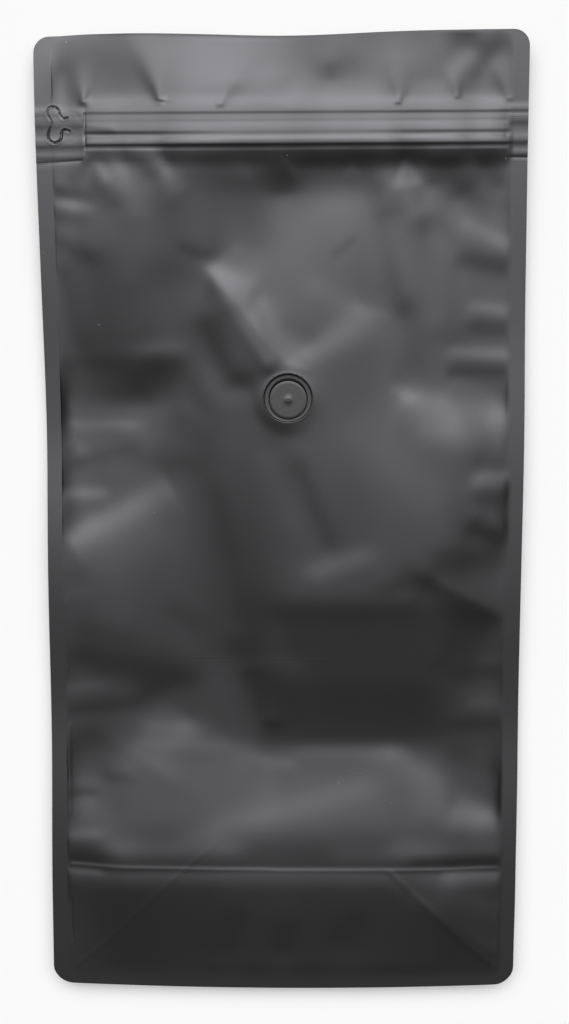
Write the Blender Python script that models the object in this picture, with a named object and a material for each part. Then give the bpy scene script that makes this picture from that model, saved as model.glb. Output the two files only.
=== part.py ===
# Flat-bottom coffee bag with a degassing valve, lying empty on its back.
# Metres, +Z up. X runs across the bag, +Y points at its mouth, and the front faces +Z.
# The origin is under the middle of the bag, on the surface that it lies on.

import math

import bmesh
import bpy

# Whole bag
BAG_WIDTH = 0.1985
BAG_LENGTH = 0.400
CORNER_RADIUS = 0.0075
SIDE_DRAW = 0.0007  # the puffed middle pulls the long sides in by this much
END_BOW = 0.0012  # the mouth and the bottom edge bow towards the bottom by this much
SIDE_LENGTH = BAG_LENGTH - END_BOW

# Seals round the edge: a front fin and a back fin with the folded gusset's gap between them
FIN_THICKNESS = 0.0008
FIN_GAP = 0.0006
FIN_DEPTH = 0.006
SEAL_WIDTH = 0.008
EDGE_THICKNESS = 2 * FIN_THICKNESS + FIN_GAP

# The slack back panel holds the seals off the surface that the bag lies on:
# (share of the seals' height, how far in from the edge) down to the flat middle of the back
SEAL_HEIGHT = 0.006
SEAL_TOP = SEAL_HEIGHT + EDGE_THICKNESS
BACK_CURVE = ((0.96, 0.008), (0.75, 0.013), (0.25, 0.021), (0.04, 0.026), (0.0, 0.030))

# Rise of the front from the seals to the slack middle
PUFF = 0.0016
SIDE_SHOULDER = 0.016
MOUTH_SHOULDER = 0.036
BOTTOM_SHOULDER = 0.046
LEAST_THICKNESS = 0.0016

# Bottom crease, where the folded-up base panel ends behind the front
CREASE_Y = -0.1445
CREASE_RISE = 0.0011
CREASE_REACH = 0.016

# Zipper: a ribbed press-to-close strip in a shallow seat under the mouth
ZIPPER_LEFT = -0.0800
ZIPPER_RIGHT = 0.0920
ZIPPER_LOW = 0.1520
ZIPPER_HIGH = 0.1730
ZIPPER_LEDGE = 0.0118
ZIPPER_SEAT_DEPTH = 0.0012
ZIPPER_BLEND = 0.010
ZIPPER_END_TAPER = 0.006

# Degassing valve
VALVE_X = 0.0020
VALVE_Y = 0.0540
VALVE_RADIUS = 0.0100
VALVE_SEAT_Z = 0.0122
VALVE_SEAT_DEPTH = 0.0016
VALVE_SEAT_BLEND = 0.009
VALVE_RIM_HEIGHT = 0.0008
VALVE_RIM_WIDTH = 0.0009
VALVE_DISC_RADIUS = 0.0077
VALVE_DISC_HEIGHT = 0.0006
VALVE_GROOVE_DEPTH = 0.0007
VENT_RADIUS = 0.00045
VENT_DEPTH = 0.0012
VALVE_STEPS = 48

# Tear tab: two lobes die-cut through the front film beside the zipper's left end
TAB_LOBE_RADIUS = 0.0033
TAB_LOBE_X = -0.0920
TAB_UPPER_Y = 0.1695
TAB_LOWER_Y = 0.1605
TAB_HOOK_LENGTH = 0.0024
TAB_CUT_WIDTH = 0.0004
TAB_CUT_DEPTH = 0.0005

FIT_GAP = 0.0003  # between a set-in piece and its seat

# Grid of the front: cells across, and along each stretch from the bottom up
CELLS_ACROSS = 34
CELLS_CORNER = 4
CELLS_BELOW_CREASE = 10
CELLS_MIDDLE = 48
CELLS_TOP = 8

# Slack folds of the front, each (start, end, rise, reach on its left, reach on its right):
# a soft ridge, or with a negative rise a hollow, along the line from start to end
FOLDS = {
    "zipper shoulder": ((-0.052, 0.160), (0.014, 0.160), 0.0040, 0.024, 0.020),
    "hollow under zipper": ((0.010, 0.136), (0.080, 0.128), -0.0016, 0.012, 0.016),
    "left hollow": ((-0.068, 0.056), (-0.060, 0.022), -0.0056, 0.024, 0.024),
    "valve ridge": ((-0.028, 0.104), (0.006, 0.058), 0.0026, 0.014, 0.018),
    "right hump": ((0.044, 0.022), (0.072, -0.008), 0.0026, 0.032, 0.034),
    "left hump": ((-0.086, -0.012), (-0.084, -0.044), 0.0012, 0.016, 0.016),
    "long hollow": ((-0.044, 0.002), (-0.018, -0.066), -0.0046, 0.020, 0.020),
    "lower hollow": ((-0.058, -0.082), (0.066, -0.086), -0.0056, 0.030, 0.024),
    "crease shoulder": ((-0.066, -0.142), (0.060, -0.146), 0.0014, 0.024, 0.024),
}


def smooth_step(value):
    clipped = min(max(value, 0.0), 1.0)
    return clipped * clipped * (3 - 2 * clipped)


def fold_height(x, y, start, end, rise, left_reach, right_reach):
    run_x = end[0] - start[0]
    run_y = end[1] - start[1]
    length = math.hypot(run_x, run_y)
    along = ((x - start[0]) * run_x + (y - start[1]) * run_y) / length
    aside = ((y - start[1]) * run_x - (x - start[0]) * run_y) / length
    reach = left_reach if aside > 0 else right_reach
    beyond = max(-along, along - length, 0.0)
    end_reach = 0.5 * (left_reach + right_reach)
    return rise * math.exp(-((aside / reach) ** 2) - (beyond / end_reach) ** 2)


def half_width(y):
    along = 2 * y / SIDE_LENGTH
    return BAG_WIDTH / 2 - SIDE_DRAW * (1 - along * along)


def shoulder(x, y):
    """How far the front has risen from its seals here, from 0 to 1."""
    side = smooth_step((half_width(y) - abs(x) - SEAL_WIDTH) / SIDE_SHOULDER)
    mouth = smooth_step((SIDE_LENGTH / 2 - y) / MOUTH_SHOULDER)
    bottom = smooth_step((SIDE_LENGTH / 2 + y) / BOTTOM_SHOULDER)
    return side * mouth * bottom


def front_height(x, y):
    slack = PUFF + sum(fold_height(x, y, *fold) for fold in FOLDS.values())
    slack += CREASE_RISE * max(0.0, 1 - abs(y - CREASE_Y) / CREASE_REACH)
    height = SEAL_TOP + slack * shoulder(x, y)

    outside_x = max(ZIPPER_LEFT - x, x - ZIPPER_RIGHT, 0.0)
    outside_y = max(ZIPPER_LOW - y, y - ZIPPER_HIGH, 0.0)
    on_ledge = 1 - smooth_step(math.hypot(outside_x, outside_y) / ZIPPER_BLEND)
    height += (ZIPPER_LEDGE - height) * on_ledge

    from_valve = math.hypot(x - VALVE_X, y - VALVE_Y)
    on_seat = 1 - smooth_step((from_valve - VALVE_RADIUS) / VALVE_SEAT_BLEND)
    height += (VALVE_SEAT_Z - height) * on_seat
    return max(height, LEAST_THICKNESS)


def grid_rows():
    """(y, how far the corner draws the row in) from the bottom edge to the mouth."""
    half_length = SIDE_LENGTH / 2
    corner = []
    for step in range(CELLS_CORNER):
        turn = math.pi / 2 * step / CELLS_CORNER
        inset = CORNER_RADIUS * (1 - math.sin(turn))
        corner.append((half_length - CORNER_RADIUS * (1 - math.cos(turn)), inset))
    straight = half_length - CORNER_RADIUS
    stretches = (
        (-straight, CREASE_Y, CELLS_BELOW_CREASE),
        (CREASE_Y, ZIPPER_LOW, CELLS_MIDDLE),
        (ZIPPER_LOW, straight, CELLS_TOP),
    )
    middle = []
    for low, high, cells in stretches:
        middle += [(low + (high - low) * cell / cells, 0.0) for cell in range(cells)]
    middle.append((straight, 0.0))
    bottom = [(-y, inset) for y, inset in corner]
    return bottom + middle + corner[::-1]


def linked(mesh, name):
    piece = bpy.data.objects.new(name, mesh)
    bpy.context.collection.objects.link(piece)
    return piece


def mesh_from(bm, name):
    bmesh.ops.recalc_face_normals(bm, faces=bm.faces)
    mesh = bpy.data.meshes.new(name)
    bm.to_mesh(mesh)
    bm.free()
    return mesh


def plastic(name, colour, roughness):
    material = bpy.data.materials.new(name)
    material.use_nodes = True
    shader = material.node_tree.nodes["Principled BSDF"]
    shader.inputs["Base Color"].default_value = (*colour, 1.0)
    shader.inputs["Roughness"].default_value = roughness
    shader.inputs["Metallic"].default_value = 0.0
    return material


def shade_round(mesh, sharp_angle):
    mesh.shade_smooth()
    mesh.set_sharp_from_angle(angle=math.radians(sharp_angle))


def build_pouch():
    bm = bmesh.new()
    grid = []
    for y, inset in grid_rows():
        reach = half_width(y) - inset
        row = []
        for cell in range(CELLS_ACROSS + 1):
            across = 2 * cell / CELLS_ACROSS - 1
            bow = END_BOW * (0.5 - across * across)
            height = front_height(across * reach, y)
            row.append(bm.verts.new((across * reach, y - bow, height)))
        grid.append(row)
    for lower, upper in zip(grid, grid[1:]):
        for a, b, c, d in zip(lower, lower[1:], upper[1:], upper):
            bm.faces.new((a, b, c, d))

    rim = grid[0][:-1] + [row[-1] for row in grid[:-1]]
    rim += grid[-1][:0:-1] + [row[0] for row in grid[:0:-1]]
    steps = [
        (SEAL_TOP - FIN_THICKNESS, 0.0),
        (SEAL_TOP - FIN_THICKNESS, FIN_DEPTH),
        (SEAL_HEIGHT + FIN_THICKNESS, FIN_DEPTH),
        (SEAL_HEIGHT + FIN_THICKNESS, 0.0),
        (SEAL_HEIGHT, 0.0),
    ]
    steps += [(share * SEAL_HEIGHT, inset) for share, inset in BACK_CURVE]
    outline = [(vert.co.x, vert.co.y) for vert in rim]
    upper = rim
    for height, inset in steps:
        shrink_x = 1 - inset / (BAG_WIDTH / 2)
        shrink_y = 1 - inset / (SIDE_LENGTH / 2)
        lower = [bm.verts.new((x * shrink_x, y * shrink_y, height)) for x, y in outline]
        for i in range(len(rim)):
            j = (i + 1) % len(rim)
            bm.faces.new((upper[i], lower[i], lower[j], upper[j]))
        upper = lower
    bm.faces.new(upper)
    return linked(mesh_from(bm, "pouch"), "pouch")


def box_cutter(name, low, high):
    bm = bmesh.new()
    bmesh.ops.create_cube(bm, size=1.0)
    for vert in bm.verts:
        for axis in range(3):
            vert.co[axis] = high[axis] if vert.co[axis] > 0 else low[axis]
    return linked(mesh_from(bm, name), name)


def round_cutter(name, x, y, radius, low, high):
    bm = bmesh.new()
    bmesh.ops.create_cone(
        bm,
        cap_ends=True,
        segments=VALVE_STEPS,
        radius1=radius,
        radius2=radius,
        depth=high - low,
    )
    bmesh.ops.translate(bm, verts=bm.verts, vec=(x, y, (low + high) / 2))
    return linked(mesh_from(bm, name), name)


def arc(centre_x, centre_y, radius, first, last, steps):
    points = []
    for step in range(steps + 1):
        turn = math.radians(first + (last - first) * step / steps)
        points.append((centre_x + radius * math.cos(turn), centre_y + radius * math.sin(turn)))
    return points


def tab_cut_line():
    """The open cut round both lobes, hook to hook, so the tab stays joined on its right."""
    upper = arc(TAB_LOBE_X, TAB_UPPER_Y, TAB_LOBE_RADIUS, -30, 215, 14)
    lower = arc(TAB_LOBE_X, TAB_LOWER_Y, TAB_LOBE_RADIUS, 145, 390, 14)
    upper_hook = (upper[0][0] + TAB_HOOK_LENGTH, upper[0][1])
    lower_hook = (lower[-1][0] + TAB_HOOK_LENGTH, lower[-1][1])
    return [upper_hook, *upper, *lower, lower_hook]


def ribbon_cutter(name, line, width, low, high):
    """A wall of the given width along an open line."""
    bm = bmesh.new()
    sections = []
    for i, (x, y) in enumerate(line):
        before = line[max(i - 1, 0)]
        after = line[min(i + 1, len(line) - 1)]
        run_x = after[0] - before[0]
        run_y = after[1] - before[1]
        length = math.hypot(run_x, run_y)
        side_x = -run_y / length * width / 2
        side_y = run_x / length * width / 2
        corners = (
            (x + side_x, y + side_y, low),
            (x + side_x, y + side_y, high),
            (x - side_x, y - side_y, high),
            (x - side_x, y - side_y, low),
        )
        sections.append([bm.verts.new(corner) for corner in corners])
    for near, far in zip(sections, sections[1:]):
        for i in range(4):
            j = (i + 1) % 4
            bm.faces.new((near[i], near[j], far[j], far[i]))
    bm.faces.new(sections[0])
    bm.faces.new(sections[-1])
    return linked(mesh_from(bm, name), name)


def cut(piece, cutter):
    cutter.hide_render = True
    cutter.display_type = "WIRE"
    modifier = piece.modifiers.new(cutter.name, "BOOLEAN")
    modifier.operation = "DIFFERENCE"
    modifier.solver = "EXACT"
    modifier.object = cutter


def build_zipper():
    """The ribbed strip: (y, height over the ledge) from its low edge to its high edge."""
    low = ZIPPER_LOW + FIT_GAP
    high = ZIPPER_HIGH - FIT_GAP
    ribs = (
        (low, 0.0000),
        (0.1552, 0.0004),
        (0.1558, 0.0001),
        (0.1572, 0.0014),
        (0.1584, 0.0016),
        (0.1608, 0.0011),
        (0.1616, 0.0006),
        (0.1624, 0.0011),
        (0.1650, 0.0010),
        (0.1664, 0.0008),
        (0.1690, 0.0010),
        (0.1698, 0.0006),
        (0.1706, 0.0008),
        (high, 0.0001),
    )
    base = ZIPPER_LEDGE - ZIPPER_SEAT_DEPTH + FIT_GAP
    left = ZIPPER_LEFT + FIT_GAP
    right = ZIPPER_RIGHT - FIT_GAP
    stations = (
        (left, 0.25),
        (left + ZIPPER_END_TAPER, 1.0),
        (right - ZIPPER_END_TAPER, 1.0),
        (right, 0.25),
    )
    bm = bmesh.new()
    sections = []
    for x, crush in stations:
        section = [bm.verts.new((x, y, ZIPPER_LEDGE + crush * rise)) for y, rise in ribs]
        section.append(bm.verts.new((x, high, base)))
        section.append(bm.verts.new((x, low, base)))
        sections.append(section)
    count = len(sections[0])
    for near, far in zip(sections, sections[1:]):
        for i in range(count):
            j = (i + 1) % count
            bm.faces.new((near[i], near[j], far[j], far[i]))
    bm.faces.new(sections[0])
    bm.faces.new(sections[-1])
    return linked(mesh_from(bm, "zipper"), "zipper")


def build_valve():
    """A turned disc: outer rim, ring groove, low centre disc and a blind vent hole."""
    base = -VALVE_SEAT_DEPTH + FIT_GAP
    groove = VALVE_DISC_HEIGHT - VALVE_GROOVE_DEPTH
    outer = VALVE_RADIUS
    rim_inner = VALVE_RADIUS - VALVE_RIM_WIDTH
    profile = (
        (VENT_RADIUS, VALVE_DISC_HEIGHT - VENT_DEPTH),
        (VENT_RADIUS, VALVE_DISC_HEIGHT),
        (VALVE_DISC_RADIUS, VALVE_DISC_HEIGHT),
        (VALVE_DISC_RADIUS, groove),
        (rim_inner, groove),
        (rim_inner, VALVE_RIM_HEIGHT),
        (outer, VALVE_RIM_HEIGHT - VALVE_RIM_WIDTH / 3),
        (outer, base),
    )
    bm = bmesh.new()
    rings = []
    for radius, height in profile:
        ring = []
        for step in range(VALVE_STEPS):
            turn = 2 * math.pi * step / VALVE_STEPS
            ring.append(bm.verts.new((radius * math.cos(turn), radius * math.sin(turn), height)))
        rings.append(ring)
    for inner, outer_ring in zip(rings, rings[1:]):
        for i in range(VALVE_STEPS):
            j = (i + 1) % VALVE_STEPS
            bm.faces.new((inner[i], inner[j], outer_ring[j], outer_ring[i]))
    bm.faces.new(rings[0])
    bm.faces.new(rings[-1])
    valve = linked(mesh_from(bm, "valve"), "valve")
    valve.location = (VALVE_X, VALVE_Y, VALVE_SEAT_Z)
    return valve


def main():
    for leftover in list(bpy.data.objects):
        bpy.data.objects.remove(leftover, do_unlink=True)

    pouch = build_pouch()
    seat = box_cutter(
        "zipper_seat_cutter",
        (ZIPPER_LEFT, ZIPPER_LOW, ZIPPER_LEDGE - ZIPPER_SEAT_DEPTH),
        (ZIPPER_RIGHT, ZIPPER_HIGH, 2 * ZIPPER_LEDGE),
    )
    pocket = round_cutter(
        "valve_pocket_cutter",
        VALVE_X,
        VALVE_Y,
        VALVE_RADIUS + FIT_GAP,
        VALVE_SEAT_Z - VALVE_SEAT_DEPTH,
        2 * VALVE_SEAT_Z,
    )
    tab = ribbon_cutter(
        "tear_tab_cutter",
        tab_cut_line(),
        TAB_CUT_WIDTH,
        SEAL_TOP - TAB_CUT_DEPTH,
        2 * ZIPPER_LEDGE,
    )
    for cutter in (tab, pocket, seat):
        cut(pouch, cutter)
    zipper = build_zipper()
    valve = build_valve()

    pouch.data.materials.append(plastic("black_film", (0.030, 0.030, 0.032), 0.5))
    zipper.data.materials.append(plastic("zipper_film", (0.034, 0.034, 0.037), 0.45))
    valve.data.materials.append(plastic("valve_film", (0.028, 0.028, 0.030), 0.45))
    shade_round(pouch.data, 30)
    shade_round(zipper.data, 40)
    shade_round(valve.data, 30)


main()
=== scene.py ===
# Matte black coffee bag with a degassing valve: empty, flat, and lying on its back.
# Metres, +Z up, mouth towards +Y. Sizes inside the dictionaries are millimetres.

import math

import bpy
import numpy as np
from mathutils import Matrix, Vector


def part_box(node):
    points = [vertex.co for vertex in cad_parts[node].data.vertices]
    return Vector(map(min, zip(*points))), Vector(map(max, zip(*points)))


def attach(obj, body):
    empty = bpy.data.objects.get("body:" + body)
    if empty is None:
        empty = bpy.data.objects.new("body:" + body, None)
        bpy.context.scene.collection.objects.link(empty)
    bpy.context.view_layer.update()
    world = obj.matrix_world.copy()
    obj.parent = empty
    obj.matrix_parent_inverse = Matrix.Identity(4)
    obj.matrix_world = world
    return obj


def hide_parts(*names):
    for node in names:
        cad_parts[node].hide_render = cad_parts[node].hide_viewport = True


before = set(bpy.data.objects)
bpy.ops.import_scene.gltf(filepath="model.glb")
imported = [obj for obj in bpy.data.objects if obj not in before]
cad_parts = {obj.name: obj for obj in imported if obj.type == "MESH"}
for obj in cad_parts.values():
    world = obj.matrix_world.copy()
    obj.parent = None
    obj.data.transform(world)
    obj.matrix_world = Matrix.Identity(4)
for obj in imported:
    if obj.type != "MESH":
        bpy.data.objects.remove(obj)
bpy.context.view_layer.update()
mm = 0.001


# Places taken from the frame, in millimetres

def boxOf(node):
    low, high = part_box(node)
    return [value / mm for value in low], [value / mm for value in high]


pouchLow, pouchHigh = boxOf("pouch")
zipLow, zipHigh = boxOf("zipper")
valveLow, valveHigh = boxOf("valve")
halfLength = (pouchHigh[1] - pouchLow[1]) / 2
halfWide = (pouchHigh[0] - pouchLow[0]) / 2
valveX = (valveLow[0] + valveHigh[0]) / 2
valveY = (valveLow[1] + valveHigh[1]) / 2

bag = {
    "mouthCorner": 6.4,      # corner radii
    "bottomCorner": 8.4,
    "sideDraw": 0.7,         # the long sides pull in this much at the middle
    "sealWidth": 8.0,
    "lift": 6.0,             # the seals float this much above the table
    "edgeHeight": 8.2,       # top of the front film in the seals
    "puff": 2.6,             # rise of the slack middle over the seals
    "puffStart": -197,       # it swells from here on, over this much of the length
    "puffRise": 52,
    "puffFall": 240,         # and sinks again towards the mouth
    "sideShoulder": 26.0,
    "stiffness": 0.3,        # how much the slack film resists bending across the bag
    "sealHold": 6.5,         # the film is held level this far in from the long sides,
    "bottomHold": 6.0,       # from the bottom
    "mouthHold": 1.0,        # and from the mouth
    "leastHeight": 1.1,
    "softness": 2.4,         # how gently the lowest hollows bottom out
}

# Slack front film. Each patch leans by so many hundredths, towards the mouth or, if negative,
# towards the bottom, along a line: start, end, lean, reach on its left and on its right, and
# how far it runs on past its ends. flare widens it towards its end, fade weakens it there,
# and flat gives it an even middle.

def patch(start, end, lean, left, right=None, past=None, flare=1.0, fade=1.0, flat=False):
    right = right or left
    return dict(start=start, end=end, lean=lean, left=left, right=right,
                past=past or 0.5 * (left + right), flare=flare, fade=fade, flat=flat)


mouthLeans = {
    "mouth glow": patch((-22, 197), (-20, 183), 13, 30, 30, 6, flat=True),
    "mouth glow middle": patch((-8, 180), (10, 181), 5, 6),
    "mouth glow foot": patch((-10, 177), (4, 177), 6, 3, 4, 4),
    "mouth glow low": patch((8, 177), (37, 177), 10, 5, 4, 6),
    "mouth plain": patch((34, 188), (54, 190), 6, 9, 9, 10),
    "mouth crumple": patch((18, 185), (28, 188), -7, 5, 6, 6),
    "mouth crumple tip": patch((20, 182), (19.5, 187), -7, 1.4),
    "mouth left plain": patch((-80, 192), (-62, 184), -9, 9, 9, 8),
    "mouth right corner": patch((72, 197), (91, 194), -16, 5, 5, 6),
    "mouth right shade": patch((82, 191), (78, 184), -11, 4, 4, 5),
    "mouth right rise": patch((69, 184), (75, 191), 9, 4),
    "mouth far right rise": patch((85, 186), (88, 191), 5, 3),
    "mouth left corner": patch((-90, 196), (-88, 182), -11, 6),
    "mouth left shade": patch((-88, 187), (-87, 196), -14, 3.5, 3.5, 4),
    "mouth hump 1": patch((53, 178), (64, 178), 9, 3.5, 3.5, 4),
}

zipperLeans = {
    "zipper flange": patch((-76, 173.0), (90, 173.0), 16, 2.6, 2.6, 2, fade=1.2),
    "flange middle": patch((4, 173), (14, 173), 5, 3, 3, 5),
    "zipper band": patch((-78, 164.5), (90, 164.5), 12, 7, 7, 2, flat=True),
    "zipper band left": patch((-76, 165), (-56, 163), -10, 6, 6, 8),
    "zipper band shade": patch((-42, 164.5), (-28, 164.5), -7, 6),
    "zipper left shade": patch((-78, 162.8), (-68, 161.4), -14, 1.0, 1.6, 1),
    "tab shade": patch((-84, 162), (-84, 151), -9, 6, 5, 4),
    "zipper right end": patch((88, 165), (95, 163), -8, 3),
    "drop under zipper": patch((-44, 152.4), (90, 152.0), -27, 3.0, 5.0, flat=True),
    "drop under zipper left": patch((-77, 152.6), (-62, 152.4), -21, 2.6, 4.2, 2, flat=True),
    "drop under zipper end": patch((-60, 152.4), (-47, 152.2), -9, 2.6, 4.2, 2, flat=True),
    "drop under zipper right": patch((30, 152), (54, 152), -6, 3, 4, 5),
    "shade under zipper": patch((-36, 145), (34, 144), -14, 5, 8, 9),
    "shade under zipper right": patch((12, 149), (42, 148.5), -9, 4, 4, 5),
    "shade tongue": patch((0, 145), (0.5, 139), -17, 7, 7, 3),
    "shade right 1": patch((61, 148), (60.5, 142), -17, 4.5, 4.5, 3),
    "shade right 2": patch((69, 147), (72, 139), -26, 6, 6, 5),
    "shade right end": patch((82, 148), (87, 142), -18, 6, 5, 5),
    "pucker 1": patch((-74, 148.5), (-70.5, 143), 11, 2.2, 2.2, 2.0),
    "pucker 2": patch((-66, 149), (-59, 130), 9, 2.4, 2.4, 3, flare=2.2, fade=0.6),
    "pucker 3": patch((-48.5, 149.5), (-42, 138), 15, 2.0, 2.0, 1.5, flare=2.6, fade=0.5),
    "pucker 4": patch((-16, 148), (-14, 144), 6, 3),
    "pucker 4 right": patch((1.5, 149.4), (5, 145), 9, 1.4),
    "pucker 5": patch((28, 149), (28.3, 144.5), 10, 1.0, flare=3.4, fade=0.6, flat=True),
    "pucker 6": patch((49.3, 149.4), (50.5, 140), 19, 1.0, flare=6.5, fade=0.8, flat=True),
    "pucker 6 low": patch((52, 138), (55, 130), 16, 5, 4, 4),
    "pucker 7": patch((75, 150), (77, 147), 8, 2.5),
    "pucker 8": patch((-89, 133.5), (-80, 132), 17, 2.4, 2.4, 4),
    "pucker gap 1": patch((-79, 148), (-84, 143), -14, 3, flare=1.4),
    "pucker gap 2": patch((-57, 150), (-53, 145), -13, 3.5),
    "pucker gap 3": patch((-72, 138), (-68, 134), -7, 4),
    "left edge dark 1": patch((-91, 137.5), (-84, 136.5), -15, 3, 3, 4),
    "left edge dark 2": patch((-91, 128), (-85, 127), -7, 3, 3, 4),
    "right shoulder": patch((63, 125), (71, 118), -4, 4, 4, 5),
    "right corner shade": patch((78, 134), (90, 132), -6, 4, 4, 5),
}

middleLeans = {
    "left slope": patch((-58, 130), (-60, 80), -14, 31, 38, 14, flat=True),
    "left slope low": patch((-78, 108), (-74, 78), -7, 14, 12, 8, flat=True),
    "left edge shade 1": patch((-90, 117), (-78, 112), -9, 4),
    "left edge shade 2": patch((-90, 106), (-85, 76), -12, 5, 6, 5),
    "left slope top": patch((-40, 138), (-33, 112), -6, 8, 8, 6),
    "left slope foot": patch((-56, 106), (-36, 106), -5, 7, 7, 5),
    "left slope middle": patch((-60, 98), (-58, 80), -6, 6, 6, 5),
    "upper plain": patch((-10, 113), (26, 130), 7, 14, 22, 12),
    "upper plain top": patch((16, 133), (28, 134), 3, 6),
    "upper shade": patch((-18, 138), (-14, 119), -9, 12, 10, 7),
    "upper left shade": patch((-28, 149), (-28, 114), -6, 6, 6, 4),
    "upper dimple": patch((41, 137), (43, 131), -10, 5),
    "upper valley": patch((41, 126), (43, 108), -13, 4.5, 4.5, 6),
    "upper streak": patch((22, 113), (28, 118), -6, 1.8),
    "ridge head shade": patch((-40, 115), (-31, 112), -8, 3.5, 2.2, 3),
    "ridge glow": patch((-28, 106), (2, 69), 15, 13, 1.8, 3, flare=0.8),
    "ridge apex": patch((-27.5, 105.0), (-14, 100.5), 9, 3.5, 4.5, 3, flare=1.3),
    "ridge apex shade": patch((-19, 110), (-16, 92), -8, 5, 5, 4),
    "ridge shade": patch((-31, 104), (-8, 67), -6, 1.5, 6, 3, fade=1.7),
    "ridge wedge": patch((-30, 84), (-20, 62), -17, 9, 6, 5),
    "ridge foot light": patch((-9, 92), (-5, 72), 12, 4),
    "valve glow": patch((0, 66.6), (6, 66.6), 17, 2.4, 2.2, 3),
    "valve glow gap": patch((2, 84), (12, 79), -5, 5, 5, 4),
    "valve left shade": patch((-18, 63), (-9, 58), -11, 5, 4, 4),
    "right ridge glow": patch((11, 72), (33, 87), 12, 4.0, 4.5, 4, flare=1.9),
    "right ridge tip": patch((30, 91), (42, 88), 5, 2.5, 3, 3),
    "right ridge inner": patch((14, 99), (24, 93), 5, 7, 6, 6),
    "right ridge end": patch((45, 99), (48, 92), -12, 6),
    "right dip": patch((50, 87), (53, 70), -8, 8),
    "right rise": patch((59, 117), (62, 88), 8, 6),
    "right ripple 1": patch((76, 124), (90, 117), 9, 3.2, 3.6, 4, fade=1.4),
    "right ripple 2": patch((74, 110.5), (90, 107), -13, 4.5, 4.5, 4),
    "right ripple 3": patch((79, 91.5), (90, 90), 11, 2.8, 3, 3),
    "right ripple 4": patch((78, 83), (92, 82), -10, 3.6, 3.6, 4),
    "right ripple 5": patch((71, 73), (92, 72), 14, 2.8, 3.0, 4),
    "right ripple 6": patch((70, 65), (92, 65), -9, 3.2),
    "right slope light": patch((63, 72), (74, 44), 4, 6, 7, 7),
    "right terrace": patch((50, 55), (90, 45), 13, 5, 8, 3, flare=1.4, fade=1.7),
    "right terrace tip": patch((47, 58), (52, 54), 8, 2.5),
    "right terrace foot": patch((62, 41), (84, 36), 9, 6, 7, 7),
    "right terrace seal": patch((72, 60), (90, 50), 8, 5, 6, 5),
    "right terrace light": patch((72, 47), (84, 44), 5, 5, 5, 4),
    "middle plain": patch((32, 40), (60, 16), 5, 14, 12, 10),
    "right ripple 7": patch((82, 22.0), (92, 21.5), 20, 3.8),
    "right ripple 7 low": patch((78, 18), (88, 18), 4, 4),
    "right ripple 8": patch((80, 14), (90, 12), -7, 4),
    "right ripple 9": patch((79, 1), (89, -4), -17, 4.5),
    "right edge glow": patch((88, 30), (88, 6), 10, 5, 4, 5),
}

leftLeans = {
    "hollow rim": patch((-54, 75.5), (-42, 75.5), 6, 3.6, 3.6, 4),
    "saddle light": patch((-40, 53), (-34, 46), 6, 5),
    "hollow wall": patch((-87, 63.5), (-50, 64), -18, 8.5, 11, 7, flat=True),
    "hollow wall shade": patch((-82, 68), (-60, 64), -6, 13, 12, 7),
    "hollow deep": patch((-60, 62), (-43, 67), -8, 6, 6, 5),
    "hollow foot": patch((-80, 53), (-58, 54), -16, 6, 4),
    "hollow floor light": patch((-86, 44.0), (-64, 43.4), 15, 2.4, 3.0, 5),
    "hollow light 2": patch((-88, 37), (-84, 33), 9, 3.0),
    "hollow shade 2": patch((-86, 27), (-64, 34), -7, 3, 3, 5),
    "hollow shade 3": patch((-62, 30), (-40, 27), -6, 5),
    "hollow floor shade": patch((-72, 41), (-64, 41), -4, 4),
    "left ripple 1": patch((-90, 15), (-76, 15), 16, 2.8),
    "left edge light": patch((-88, 22), (-82, 4), 6, 6),
    "left edge glow": patch((-86, 40), (-86, -10), 5, 7, 7, 6),
    "left diagonal": patch((-88, -4), (-49, 17.5), 22, 5, 7, 2.5, fade=0.65),
    "left plain": patch((-84, -14), (-56, 0), 5, 9, 12, 8),
    "left ripple 3": patch((-90, -26), (-84, -26), 4, 3.5),
    "left dip": patch((-46, -34), (-38, -40), -4, 5),
    "left brow": patch((-84, -42), (-66, -46), -5, 5, 5, 6),
    "lower left shade": patch((-86, -54), (-44, -63), -12, 8, 7, 7),
    "lower left shade right": patch((-58, -69), (-40, -66), -9, 5, 4, 5),
    "lower left light": patch((-90, -67.5), (-78, -66.5), 6, 2.4, 2.4, 4),
    "lower left shade 2": patch((-90, -77), (-56, -74), -9, 4, 3.5, 5),
}

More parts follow.
